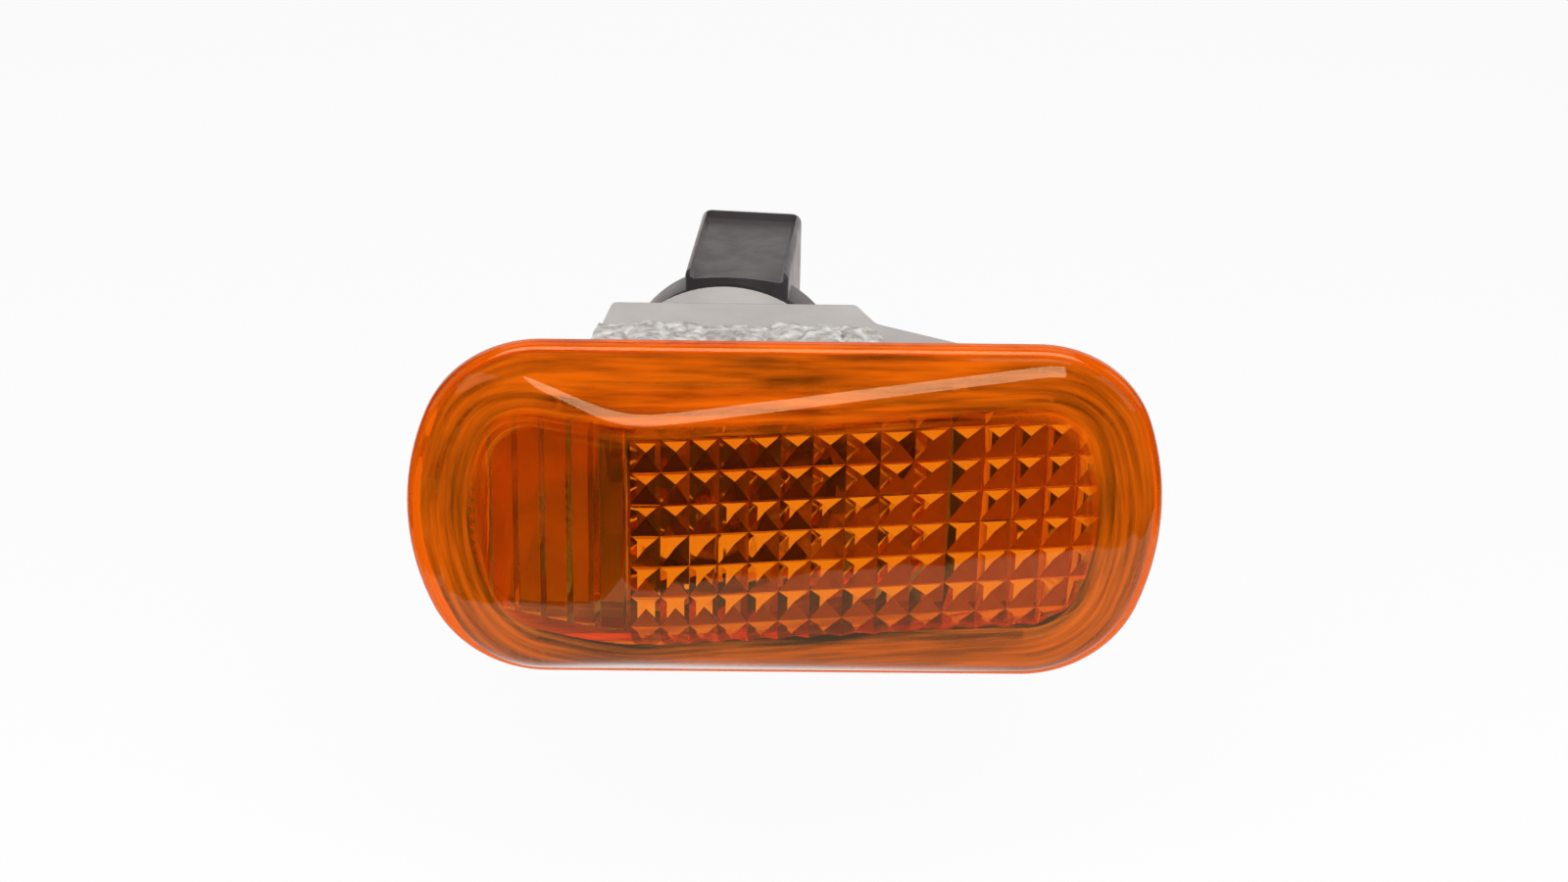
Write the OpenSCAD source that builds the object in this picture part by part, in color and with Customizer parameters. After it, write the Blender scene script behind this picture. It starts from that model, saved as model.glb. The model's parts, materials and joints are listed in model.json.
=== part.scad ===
// Side turn indicator lamp: an amber moulded lens joined to a grey housing, with a bayonet bulb holder at the back.
// X runs along the lamp, Y runs from the lens to the connector and Z is up.
// The origin is the middle of the flat back face of the housing flange, which seats on the body panel.

/* [Lens] */
// Length of the lens over its rim
lens_w = 70; // [66:1:80]
// Height of the lens over its rim
lens_h = 34.4; // [33:0.2:36]
// Corner radius at the left, blunt end
corner_left = 11.6; // [11.4:0.2:13]
// Corner radius at the right, shallow end
corner_right = 11.4; // [11.4:0.2:13]
// Radius of the bow of the left end face
bow_left = 26; // [21:1:32]
// Radius of the bow of the right end face
bow_right = 29; // [25:1:50]
// Thickness of the rim edge
rim_t = 1.4; // [1.2:0.1:2]
// Wall of the lens behind its face
lens_wall = 2.2; // [1.8:0.1:2.6]
// Height of the crest of the lens above its back face
crest_h = 7.6; // [6.5:0.1:9]
// Place of the crest along the lamp
crest_x = -14.6; // [-17:0.2:-12]
// Slope of the face from the crest towards the blunt end
slope_left = 0.39; // [0.3:0.01:0.45]
// Slope of the face from the crest towards the shallow end
slope_right = 0.125; // [0.1:0.005:0.14]
// Width of the rim land that rests on the housing flange
land_w = 4.2; // [3.8:0.1:5]
// Depth of the skirt behind the rim
skirt_d = 3.2; // [2.6:0.1:4]
// Wall of the skirt
skirt_wall = 1.8; // [1.5:0.1:2.2]

/* [Optics] */
// Number of pyramid columns
pyramid_cols = 15; // [13:1:15]
// Number of pyramid rows
pyramid_rows = 8; // [6:1:8]
// Pitch of the pyramid columns
pyramid_pitch = 2.9; // [2.7:0.1:3]
// Pitch of the pyramid rows
row_pitch = 3.2; // [2.6:0.1:3.3]
// Drift of the pyramid columns towards the crest
column_drift = 1.1; // [0:0.1:1.3]
// Height of a pyramid
pyramid_h = 1.1; // [0.6:0.1:1.4]
// Number of upright flutes
flutes = 6; // [4:1:6]
// Pitch of the flutes
flute_pitch = 2.5; // [2.2:0.1:2.5]
// Depth of a flute
flute_h = 0.6; // [0.3:0.1:0.9]

/* [Housing] */
// Thickness of the flange behind the lens rim
flange_t = 2; // [1.6:0.1:2]
// Inset of the flange from the lens outline
flange_inset = 1.2; // [1.1:0.1:1.6]
// Inset of the plug that drops through the panel
plug_inset = 3; // [2.8:0.1:3.2]
// Thickness of the back plate
plate_t = 2; // [1.6:0.1:2.6]
// Half height of the bulb box
box_half = 12.8; // [12.2:0.1:13]
// Depth of the bulb box behind the rim
box_d = 18.6; // [16:0.2:20]
// Wall of the bulb box
box_wall = 1.8; // [1.4:0.1:2.2]
// Left side of the bulb box at its back
box_left = -16.5; // [-18:0.1:-16.4]
// Right side of the bulb box at its back
box_right = 6.6; // [6.4:0.2:8]
// Lean of the side walls of the box, over a depth of one
box_draft = 0.15; // [0.05:0.01:0.18]
// Height of the sealing bead on the box wall
bead_h = 1.2; // [0.8:0.1:1.5]
// Depth at which the sealing bead ends
bead_end = 13; // [10:0.5:13]
// Reach of the fixed hook past the plug
hook_reach = 2; // [1.4:0.1:2.6]
// Width of the hook and of the spring arm
clip_w = 9; // [6:0.5:12]
// Thickness of the spring arm
spring_t = 1.3; // [1:0.1:1.8]
// Depth of the bend of the spring arm
spring_d = 13; // [11:0.5:16]

/* [Bulb holder] */
// Place of the bulb axis along the lamp, at the back of the box
axis_x = -5.8; // [-6:0.1:-5.2]
// Height of the bulb axis above the middle of the lamp
axis_z = 0.6; // [0:0.1:0.8]
// Angle of the bulb axis to the rim normal
axis_yaw = 6; // [0:0.5:9]
// Outer radius of the collar on the housing
collar_r = 11.8; // [11.8:0.1:12.2]
// Length of the collar past the box
collar_len = 4.3; // [4.2:0.1:6]
// Radius of the holder spigot
spigot_r = 9.5; // [9:0.1:9.6]
// Radial clearance of the spigot in the collar
spigot_clear = 0.08; // [0.05:0.01:0.1]
// Reach of a bayonet lug past the spigot
lug_reach = 1.2; // [0.9:0.1:1.2]
// Thickness of a bayonet lug
lug_t = 1.5; // [1.2:0.1:1.6]
// Angular width of a bayonet lug
lug_angle = 28; // [20:1:32]
// Turn from locked to free
unlock_angle = 40; // [38:1:45]
// Thickness of the sealing ring
seal_t = 2.5; // [2:0.1:3]
// Radius of the holder cap
cap_r = 11.3; // [11:0.1:12]
// Length of the holder cap
cap_len = 4.5; // [4:0.1:6]
// Width of the grip block that is also the connector
grip_w = 10.3; // [9.8:0.1:11]
// Height of the grip block
grip_h = 25; // [24.6:0.2:25.6]
// Length of the grip block
grip_len = 15.8; // [15:0.1:18]
// Width of the connector mouth
mouth_w = 7.2; // [6.4:0.1:7.6]
// Height of the connector mouth
mouth_h = 15; // [14:0.2:19]
// Depth of the connector mouth
mouth_d = 11; // [10:0.5:11.5]
// Width of a terminal blade
blade_w = 2.8; // [2.2:0.1:3.2]
// Thickness of a terminal blade
blade_t = 0.8; // [0.6:0.1:1]

/* [Bulb] */
// Diameter of the bulb glass
bulb_d = 10; // [9:0.1:10.3]
// Reach of the bulb glass in front of the holder
bulb_reach = 17.6; // [15:0.2:18]
// Width of the pinched glass base
base_w = 9.5; // [9:0.1:9.6]
// Thickness of the pinched glass base
base_t = 2.3; // [2.1:0.1:2.5]
// Depth of the glass base in the holder
base_d = 7; // [6:0.1:7.5]
// Wall of the bulb glass
glass_t = 0.6; // [0.5:0.1:0.8]
// Diameter of a lead wire
wire_d = 0.5; // [0.4:0.05:0.6]
// Spread of the two lead wires
wire_gap = 3.2; // [2.6:0.1:3.6]
// Diameter of the filament coil
filament_d = 0.7; // [0.5:0.1:1]

/* [Hidden] */
$fn = 64;
eps = 0.01;
corner_steps = 8;
bow_steps = 6;
side_steps = 11;
back_y = skirt_d + plate_t;
groove_clear = 0.15;
seat_gap = 0.05;

// Moves the lamp from the back of the lens rim, where it is drawn, to its seat on the back of the flange.
module seated() {
    translate([0, -flange_t, 0]) children();
}

// The outline of the lens, drawn in by d and seen from the front: two corner arcs and a bow at each end.
function arc_points(c, r, a0, a1, n, first = 0, last = 0) =
    [for (k = [first:n - last]) [c[0] + r * cos(a0 + (a1 - a0) * k / n), c[1] + r * sin(a0 + (a1 - a0) * k / n)]];
function corner_x(corner, bow) = lens_w / 2 - bow + sqrt(pow(bow - corner, 2) - pow(lens_h / 2 - corner, 2));
function bow_angle(corner, bow) = asin((lens_h / 2 - corner) / (bow - corner));
right_x = corner_x(corner_right, bow_right);
left_x = -corner_x(corner_left, bow_left);
right_a = bow_angle(corner_right, bow_right);
left_a = bow_angle(corner_left, bow_left);
function side_points(z, x0, x1) = [for (k = [1:side_steps - 1]) [x0 + (x1 - x0) * k / side_steps, z]];
function outline(d) =
    let (zr = lens_h / 2 - corner_right, zl = lens_h / 2 - corner_left, h = lens_h / 2 - d)
    concat(
        arc_points([lens_w / 2 - bow_right, 0], bow_right - d, -right_a, right_a, bow_steps),
        arc_points([right_x, zr], corner_right - d, right_a, 90, corner_steps, 1),
        side_points(h, right_x, left_x),
        arc_points([left_x, zl], corner_left - d, 90, 180 - left_a, corner_steps),
        arc_points([bow_left - lens_w / 2, 0], bow_left - d, 180 - left_a, 180 + left_a, bow_steps, 1),
        arc_points([left_x, -zl], corner_left - d, 180 + left_a, 270, corner_steps, 1),
        side_points(-h, left_x, right_x),
        arc_points([right_x, -zr], corner_right - d, 270, 360 - right_a, corner_steps, 0, 1));

// The face of the lens: two slopes that meet at the crest, a slight crown and shoulders that fall to the rim.
blend_k = 0.7;
crown = 0.7;
shoulder_slope = 1.45;
shoulder_start = 0.8;
function soft_min(a, b, k) = min(a, b) - k * ln(1 + exp(-abs(a - b) / k));
function face_h(x, z) =
    soft_min(crest_h + slope_left * (x - crest_x), crest_h - slope_right * (x - crest_x), blend_k)
    + crown * (1 - pow(2 * z / lens_h, 2));
function shoulder_h(d) = rim_t + shoulder_slope * (d - shoulder_start) + blend_k / 2;
function lens_front(x, z, d) = max(rim_t, soft_min(face_h(x, z), shoulder_h(d), blend_k));

// The rings of points of the outer skin, from the back of the rim to the middle of the face.
skin_insets = [0, 0, 0.25, 0.8, 1.6, 2.4, 3.2, 4, 4.8, 5.8, 7.2, 9, 11];
rim_fall = [0, 0.65, 0.93, 1];
function skin_ring(k) =
    [for (p = outline(skin_insets[k]))
        [p[0], -(k < 4 ? rim_t * rim_fall[k] : lens_front(p[0], p[1], skin_insets[k])), p[1]]];

// The rings of the cavity, a wall behind the skin; the last but one stays inside the skirt.
cavity_inset = land_w + skirt_wall;
cavity_insets = [cavity_inset, cavity_inset, 6.8, 8, 9.4, 11];
function cavity_ring(k) =
    [for (p = outline(cavity_insets[k]))
        [p[0], k == 0 ? skirt_d + 1 : lens_wall - lens_front(p[0], p[1], cavity_insets[k] - lens_wall / 2), p[1]]];

// A closed skin over a stack of rings; the first ring is closed flat and the last by a ladder across it.
module ring_skin(rings) {
    n = len(rings[0]);
    m = len(rings);
    half = floor(bow_steps / 2);
    flat = [for (r = rings) each r];
    sides = [for (k = [0:m - 2]) for (i = [0:n - 1]) let (a = k * n + i, b = k * n + (i + 1) % n)
        each [[a, a + n, b + n], [a, b + n, b]]];
    start = [for (i = [n - 1:-1:0]) i];
    last = (m - 1) * n;
    up = [for (j = [0:floor(n / 2)]) last + (half + j) % n];
    down = [for (j = [0:floor(n / 2)]) last + (half - j + n) % n];
    steps = floor(n / 2);
    ladder = [for (j = [0:steps - 1])
        each j == 0 ? [[up[0], down[1], up[1]]]
        : j == steps - 1 ? [[up[j], down[j], up[j + 1]]]
        : [[up[j], down[j], down[j + 1]], [up[j], down[j + 1], up[j + 1]]]];
    polyhedron(points = flat, faces = concat(sides, [start], ladder), convexity = 8);
}

// A plate of the lens outline, drawn in by d, from y0 to y1.
module outline_plate(d, y0, y1) {
    translate([0, y1, 0]) rotate([90, 0, 0]) linear_extrude(y1 - y0) polygon(outline(d));
}

// The pyramid field: a slab in the face wall whose back is a grid of pyramids that point at the bulb.
field_x = crest_x + 0.5;
field_top = 13.25;
field_z = field_top - pyramid_rows * row_pitch;
drift_cols = 10.5;
slab_t = 1.2;
function column_x(i) = field_x + i * pyramid_pitch - column_drift * sin(180 * min(i, drift_cols) / drift_cols);
function inner_y(x, z) = lens_wall - lens_front(x, z, max(cavity_inset, lens_h / 2 - abs(z)));
module pyramid_field() {
    nx = pyramid_cols;
    nz = pyramid_rows;
    corners = [for (i = [0:nx]) for (j = [0:nz])
        let (x = column_x(i), z = field_z + j * row_pitch) [x, inner_y(x, z) + eps, z]];
    tips = [for (i = [0:nx - 1]) for (j = [0:nz - 1])
        let (x = (column_x(i) + column_x(i + 1)) / 2, z = field_z + (j + 0.5) * row_pitch)
        [x, inner_y(x, z) + pyramid_h, z]];
    fronts = [for (p = corners) [p[0], p[1] - slab_t, p[2]]];
    nc = len(corners);
    nt = len(tips);
    function at(i, j) = i * (nz + 1) + j;
    pyramids = [for (i = [0:nx - 1]) for (j = [0:nz - 1])
        let (t = nc + i * nz + j, a = at(i, j), b = at(i + 1, j), c = at(i + 1, j + 1), d = at(i, j + 1))
        each [[a, b, t], [b, c, t], [c, d, t], [d, a, t]]];
    front = [for (i = [0:nx - 1]) for (j = [0:nz - 1])
        let (o = nc + nt, a = o + at(i, j), b = o + at(i + 1, j), c = o + at(i + 1, j + 1), d = o + at(i, j + 1))
        each [[a, c, b], [a, d, c]]];
    o = nc + nt;
    ends = [for (j = [0:nz - 1]) each [
        [at(0, j), at(0, j + 1), o + at(0, j + 1)], [at(0, j), o + at(0, j + 1), o + at(0, j)],
        [at(nx, j + 1), at(nx, j), o + at(nx, j)], [at(nx, j + 1), o + at(nx, j), o + at(nx, j + 1)]]];
    edges = [for (i = [0:nx - 1]) each [
        [at(i + 1, 0), at(i, 0), o + at(i, 0)], [at(i + 1, 0), o + at(i, 0), o + at(i + 1, 0)],
        [at(i, nz), at(i + 1, nz), o + at(i + 1, nz)], [at(i, nz), o + at(i + 1, nz), o + at(i, nz)]]];
    polyhedron(points = concat(corners, tips, fronts), faces = concat(pyramids, front, ends, edges), convexity = 10);
}

// The flutes: upright saw teeth on the inside of the blunt slope, each with a wide face and a narrow riser.
flute_end = field_x - 0.1;
flute_start = flute_end - flutes * flute_pitch;
flute_share = 0.8;
flute_low = -9.6;
function slope_y(x) = lens_wall - crest_h + slope_left * max(0, crest_x - x) - crown / 2;
module flute_field() {
    ridge = [for (k = [0:flutes - 1]) let (x = flute_start + k * flute_pitch, t = x + flute_share * flute_pitch)
        each [[x, slope_y(x)], [t, slope_y(t) + flute_h]]];
    profile = concat(ridge, [[flute_end, slope_y(flute_end)], [flute_end, slope_y(flute_end) - slab_t],
        [flute_start, slope_y(flute_start) - slab_t]]);
    translate([0, 0, field_top]) mirror([0, 0, 1]) linear_extrude(field_top - flute_low) polygon(profile);
}

// The rack: small teeth down the blunt end of the cavity.
rack_teeth = 17;
rack_pitch = 1.1;
rack_depth = 0.7;
module rack() {
    x0 = -lens_w / 2 + cavity_inset - skirt_wall / 2;
    x1 = -lens_w / 2 + cavity_inset + rack_depth;
    low = -rack_teeth * rack_pitch / 2;
    teeth = [for (k = [0:rack_teeth - 1]) each [[x1 - rack_depth, low + k * rack_pitch],
        [x1, low + (k + 0.5) * rack_pitch]]];
    translate([0, slope_y(x1), 0]) rotate([-90, 0, 0]) mirror([0, 1, 0])
        linear_extrude(skirt_d - slope_y(x1)) polygon(concat([[x0, low]], teeth, [[x1 - rack_depth, -low], [x0, -low]]));
}

module lens() {
    color([0.95, 0.42, 0.02]) seated() {
        difference() {
            union() {
                ring_skin([for (k = [0:len(skin_insets) - 1]) skin_ring(k)]);
                outline_plate(land_w, -eps, skirt_d);
            }
            ring_skin([for (k = [0:len(cavity_insets) - 1]) cavity_ring(k)]);
        }
        intersection() {
            union() {
                pyramid_field();
                flute_field();
                rack();
            }
            outline_plate(cavity_inset - skirt_wall / 2, -crest_h, skirt_d);
        }
    }
}

// Corners of a path rounded to radius r, as points along each arc.
function unit(v) = v / norm(v);
function round_corner(p0, p1, p2, r, n) =
    let (u = unit(p0 - p1), v = unit(p2 - p1), half = acos(u * v) / 2, c = p1 + unit(u + v) * r / sin(half),
        a = p1 + u * r / tan(half), b = p1 + v * r / tan(half),
        a0 = atan2(a[1] - c[1], a[0] - c[0]), turn = atan2(b[1] - c[1], b[0] - c[0]) - a0,
        sweep = turn > 180 ? turn - 360 : turn < -180 ? turn + 360 : turn)
    [for (k = [0:n]) c + r * [cos(a0 + sweep * k / n), sin(a0 + sweep * k / n)]];

// The bulb box, with its walls drawn in by t: plan, side and front profiles that cut each other.
ramp_side = 2;
ramp_drop = 5.2;
ramp_run = 14;
edge_r = 1.6;
function left_at(y, t) = box_left - box_draft * (box_d - y) + t;
function plan_path(t, y0) =
    let (y1 = box_d - t, side = box_right + ramp_side, foot = box_d - ramp_drop,
        a = [left_at(y0, t), y0], b = [left_at(y1, t), y1], c = [box_right - t, y1],
        d = [side - t, foot], e = [side - t + ramp_run * (foot - y0) / (foot - back_y), y0])
    concat([a], round_corner(a, b, c, edge_r, 4), round_corner(b, c, d, edge_r, 4),
        round_corner(c, d, e, edge_r, 3), [e]);
top_draft = 0.02;
function side_path(t, y0) =
    let (y1 = box_d - t, h0 = box_half + top_draft * (box_d - y0) - t, h1 = box_half - t)
    concat([[y0, -h0]], round_corner([y0, -h0], [y1, -h1], [y1, h1], edge_r / 2, 3),
        round_corner([y1, -h1], [y1, h1], [y0, h0], edge_r / 2, 3), [[y0, h0]]);
module box_shape(t, y0) {
    intersection() {
        translate([0, 0, -box_half * 2]) linear_extrude(box_half * 4) polygon(plan_path(t, y0));
        rotate([90, 0, 90]) translate([0, 0, -lens_w / 2]) linear_extrude(lens_w) polygon(side_path(t, y0));
    }
}

// Children drawn along the bulb axis, with their Z turned rearwards and their start at the back of the box.
module on_axis() {
    translate([axis_x, box_d, axis_z]) rotate([0, 0, -axis_yaw]) rotate([-90, 0, 0]) children();
}
module ring(r_out, r_in, z0, z1) {
    translate([0, 0, z0]) difference() {
        cylinder(r = r_out, h = z1 - z0);
        translate([0, 0, -1]) cylinder(r = r_in, h = z1 - z0 + 2);
    }
}
module sector(r_in, r_out, a0, a1, z0, z1) {
    translate([0, 0, z0]) rotate([0, 0, a0]) rotate_extrude(angle = a1 - a0)
        translate([r_in, 0]) square([r_out - r_in, z1 - z0]);
}
lugs = 3;
slot_angle = lug_angle + 6;
bore_r = spigot_r + spigot_clear;
groove_r = spigot_r + lug_reach + groove_clear;
groove_len = lug_t + 2 * groove_clear;
lip_start = 1.8;
spigot_start = lip_start - groove_len + groove_clear;
module collar_bore() {
    translate([0, 0, -box_wall * 2]) cylinder(r = groove_r, h = box_wall * 2 + lip_start);
    cylinder(r = bore_r, h = collar_len + 1);
    for (k = [0:lugs - 1])
        sector(spigot_r / 2, groove_r - groove_clear / 2, 360 / lugs * k - slot_angle / 2,
            360 / lugs * k + slot_angle / 2, lip_start - groove_clear, collar_len + 1);
}

// The fixed hook at the blunt end and the spring arm at the shallow end, which hold the lamp in the panel.
plug_edge = lens_w / 2 - plug_inset;
panel_room = 2.3;
hook_root = 2;
hook_bevel = 0.6;
hook_t = 1.4;
hook_brace = 2.2;
module hook() {
    tip = -plug_edge - hook_reach;
    root = -plug_edge + hook_root;
    low = flange_t + panel_room;
    translate([0, 0, -clip_w / 2]) linear_extrude(clip_w)
        polygon([[root, low], [tip + hook_bevel, low], [tip, low + hook_bevel], [tip, low + hook_t],
            [root, back_y + hook_brace]]);
}
spring_gap = 2.6;
spring_inset = 4.8;
spring_root = 0.5;
spring_lift = 0.8;
barb = 1.5;
barb_len = 1.6;
bend_steps = 12;
module spring_arm() {
    inner = plug_edge - spring_inset;
    outer = inner + spring_t + spring_gap;
    mid = [inner + spring_t + spring_gap / 2, spring_d];
    foot = back_y - spring_root;
    lip = back_y + spring_lift;
    translate([0, 0, -clip_w / 2]) linear_extrude(clip_w) polygon(concat(
        [[inner, foot]],
        arc_points(mid, spring_gap / 2 + spring_t, 180, 0, bend_steps),
        [[outer + spring_t + barb, lip + barb_len], [outer + spring_t, lip], [outer, lip]],
        arc_points(mid, spring_gap / 2, 0, 180, bend_steps),
        [[inner + spring_t, foot]]));
}

module housing() {
    color([0.66, 0.67, 0.66]) seated() difference() {
        union() {
            outline_plate(flange_inset, 0, flange_t);
            outline_plate(plug_inset, 0, back_y);
            box_shape(0, skirt_d);
            intersection() {
                on_axis() translate([0, 0, -box_wall * 2]) cylinder(r = collar_r, h = collar_len + box_wall * 2);
                translate([-lens_w / 2, box_d - box_wall, -lens_w / 2]) cube(lens_w);
            }
            hook();
            spring_arm();
        }
        outline_plate(land_w, -1, skirt_d);
        box_shape(box_wall, skirt_d - 1);
        on_axis() collar_bore();
    }
}

module joint_bead() {
    color([0.75, 0.76, 0.77]) seated() difference() {
        intersection() {
            translate([0, 0, -lens_w / 2]) linear_extrude(lens_w) polygon(bead_plan());
            rotate([90, 0, 90]) translate([0, 0, -lens_w / 2]) linear_extrude(lens_w) polygon(bead_side());
        }
        box_shape(0, skirt_d);
    }
}
bead_thin = 0.35;
bead_side_t = 0.5;
function ramp_x(y) = box_right + ramp_side + ramp_run * (box_d - ramp_drop - y) / (box_d - ramp_drop - back_y);
function bead_plan() = [[left_at(back_y, -bead_side_t), back_y], [left_at(bead_end, -bead_thin), bead_end],
    [ramp_x(bead_end), bead_end], [ramp_x(back_y) + bead_side_t, back_y]];
function bead_side() =
    let (h0 = box_half + top_draft * (box_d - back_y), h1 = box_half + top_draft * (box_d - bead_end))
    [[back_y, -h0 - bead_h], [bead_end, -h1 - bead_thin], [bead_end, h1 + bead_thin], [back_y, h0 + bead_h]];

// The bulb holder: a spigot with bayonet lugs, a cupped cap and the grip block, whose far end is the connector.
cap_z = collar_len + seal_t;
cap_disc = 1.8;
cap_wall = 1.4;
grip_r = 1;
grip_shift = 0.45;
panel_sink = 0.8;
panel_side = 0.5;
panel_lip = 0.7;
module rounded_block(w, h, l, r) {
    linear_extrude(l) {
        square([w - 2 * r, h], center = true);
        square([w, h - 2 * r], center = true);
        for (i = [-1, 1]) for (j = [-1, 1]) translate([i * (w / 2 - r), j * (h / 2 - r)]) circle(r = r);
    }
}

// The grip block, with a thumb panel sunk into its top and its bottom inside a raised frame.
module grip_block() {
    translate([grip_shift, 0, cap_z]) difference() {
        rounded_block(grip_w, grip_h, grip_len, grip_r);
        for (s = [-1, 1]) translate([-grip_w / 2 + panel_side, s * grip_h / 2 - panel_sink, -1])
            cube([grip_w - 2 * panel_side, 2 * panel_sink, grip_len + 1 - panel_lip]);
    }
}
base_clear = 0.1;
module base_pocket() {
    translate([-base_t / 2 - base_clear, -base_w / 2 - base_clear, spigot_start - 1])
        cube([base_t + 2 * base_clear, base_w + 2 * base_clear, base_d + 1 + base_clear]);
    for (s = [-1, 1]) translate([s * (base_t / 2 + base_clear + blade_t / 2), s * terminal_y, spigot_start - 1])
        translate([-blade_t / 2 - seat_gap, -blade_w / 2 - seat_gap, 0])
            cube([blade_t + 2 * seat_gap, blade_w + 2 * seat_gap, base_d + 1 + base_clear]);
}
terminal_y = 2.9;
mouth_z = cap_z + grip_len - mouth_d;
module bulb_holder() {
    color([0.13, 0.13, 0.14]) seated() on_axis() difference() {
        union() {
            translate([0, 0, spigot_start]) cylinder(r = spigot_r, h = cap_z - spigot_start + 1);
            for (k = [0:lugs - 1])
                sector(spigot_r / 2, spigot_r + lug_reach, 360 / lugs * k + unlock_angle - lug_angle / 2,
                    360 / lugs * k + unlock_angle + lug_angle / 2, spigot_start, spigot_start + lug_t);
            translate([0, 0, cap_z]) cylinder(r = cap_r, h = cap_disc);
            ring(cap_r, cap_r - cap_wall, cap_z, cap_z + cap_len);
            grip_block();
        }
        base_pocket();
        translate([0, 0, mouth_z]) rounded_block(mouth_w, mouth_h, mouth_d + 1, grip_r / 2);
        for (s = [-1, 1]) terminal_shape(s, seat_gap);
    }
}

// A terminal: a contact spring beside the bulb base that steps to the middle plane and ends as a blade.
blade_reach = 6.4;
step_clear = 0.6;
step_start = spigot_start + base_d + step_clear;
step_len = 2.4;
module terminal_shape(s, gap) {
    x0 = base_t / 2 + base_clear + blade_t / 2;
    t = blade_t / 2 + gap;
    top = mouth_z + blade_reach;
    bottom = spigot_start + 1;
    translate([0, s * terminal_y + blade_w / 2 + gap, 0]) rotate([90, 0, 0]) linear_extrude(blade_w + 2 * gap)
        polygon([for (p = [[x0 + t, bottom], [x0 + t, step_start], [t, step_start + step_len], [t, top],
            [-t, top], [-t, step_start + step_len], [x0 - t, step_start], [x0 - t, bottom]]) [s * p[0], p[1]]]);
}
module terminal(s) {
    color([0.85, 0.68, 0.34]) seated() on_axis() terminal_shape(s, 0);
}
module terminal_upper() {
    terminal(-1);
}
module terminal_lower() {
    terminal(1);
}

seal_inset = 0.3;
module holder_seal() {
    color([0.09, 0.09, 0.1]) seated() on_axis() ring(cap_r - seal_inset, spigot_r + seat_gap, collar_len, cap_z);
}

// The wedge bulb: a glass tube with a round tip and a pinched base, two lead wires and a filament.
tube_r = bulb_d / 2;
tip_z = spigot_start - bulb_reach;
neck_len = 1.2;
pinch_len = 1.4;
neck_z = spigot_start - neck_len;
pinch_z = neck_z - pinch_len;
module bulb_outline(r, z0, z1) {
    translate([0, 0, z0 + r]) cylinder(r = r, h = z1 - z0 - r);
    translate([0, 0, z0 + r]) sphere(r = r);
}
module bulb_glass() {
    color([0.85, 0.9, 0.92]) seated() on_axis() difference() {
        union() {
            bulb_outline(tube_r, tip_z, neck_z);
            translate([-base_t / 2, -base_w / 2, neck_z - 1]) cube([base_t, base_w, base_d + 1 + spigot_start - neck_z]);
        }
        bulb_outline(tube_r - glass_t, tip_z + glass_t, pinch_z);
    }
}
filament_place = 0.42;
filament_z = tip_z + filament_place * bulb_reach;
wire_over = 0.4;
module bulb_leads() {
    color([0.6, 0.6, 0.62]) seated() on_axis() for (s = [-1, 1])
        translate([0, s * wire_gap / 2, filament_z]) cylinder(d = wire_d, h = pinch_z - filament_z);
}
module bulb_filament() {
    color([0.35, 0.35, 0.37]) seated() on_axis()
        translate([0, -wire_gap / 2 - wire_over, filament_z - filament_d / 2])
        rotate([-90, 0, 0]) cylinder(d = filament_d, h = wire_gap + 2 * wire_over);
}

lens();
housing();
joint_bead();
bulb_holder();
holder_seal();
terminal_upper();
terminal_lower();
bulb_glass();
bulb_leads();
bulb_filament();
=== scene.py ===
"""Visual model of an oblong amber side turn indicator lamp, in the same frame as its construction model.

X runs along the lamp, Y from the lens to the connector and Z up. Numbers are in millimetres unless a name or a
comment says otherwise, and are turned into metres where a mesh is made.
"""

import json
import logging
import math
from dataclasses import dataclass
from enum import Enum

import bmesh
import bpy
import numpy as np
from mathutils import Matrix, Vector

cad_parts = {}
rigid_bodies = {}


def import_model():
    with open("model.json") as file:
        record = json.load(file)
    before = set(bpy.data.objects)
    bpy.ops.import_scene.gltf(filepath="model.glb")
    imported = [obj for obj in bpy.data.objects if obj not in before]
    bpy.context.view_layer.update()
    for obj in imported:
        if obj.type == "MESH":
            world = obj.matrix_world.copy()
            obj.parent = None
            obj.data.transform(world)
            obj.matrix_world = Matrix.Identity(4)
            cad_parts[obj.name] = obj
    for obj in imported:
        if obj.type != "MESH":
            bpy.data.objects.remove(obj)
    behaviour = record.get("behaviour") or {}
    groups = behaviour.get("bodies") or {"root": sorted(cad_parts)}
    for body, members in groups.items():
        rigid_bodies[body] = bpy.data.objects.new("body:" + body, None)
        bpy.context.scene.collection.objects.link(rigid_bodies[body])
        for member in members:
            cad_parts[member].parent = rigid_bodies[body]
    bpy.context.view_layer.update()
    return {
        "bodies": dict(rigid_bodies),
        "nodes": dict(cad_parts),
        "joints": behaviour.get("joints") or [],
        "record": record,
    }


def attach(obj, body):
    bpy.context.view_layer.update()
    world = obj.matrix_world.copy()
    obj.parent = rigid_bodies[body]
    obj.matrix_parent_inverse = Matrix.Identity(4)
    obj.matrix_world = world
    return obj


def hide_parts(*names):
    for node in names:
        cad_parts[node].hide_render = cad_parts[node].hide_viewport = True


LOG = logging.getLogger("indicator_lamp")
MM = 0.001
SEAT = np.array((0.0, -2.0, 0.0))
AXIS_START = np.array((-5.8, 18.6, 0.6))
AXIS_YAW = math.radians(6.0)
COLOUR_SPAN = (0.35, 0.65)
ROUGH_SPAN = (0.3, 0.7)

Rgb = tuple[float, float, float]
Array = np.ndarray


class Body(Enum):
    """Bodies of the frame that pieces ride on."""

    HOUSING = "housing"
    HOLDER = "holder"


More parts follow.
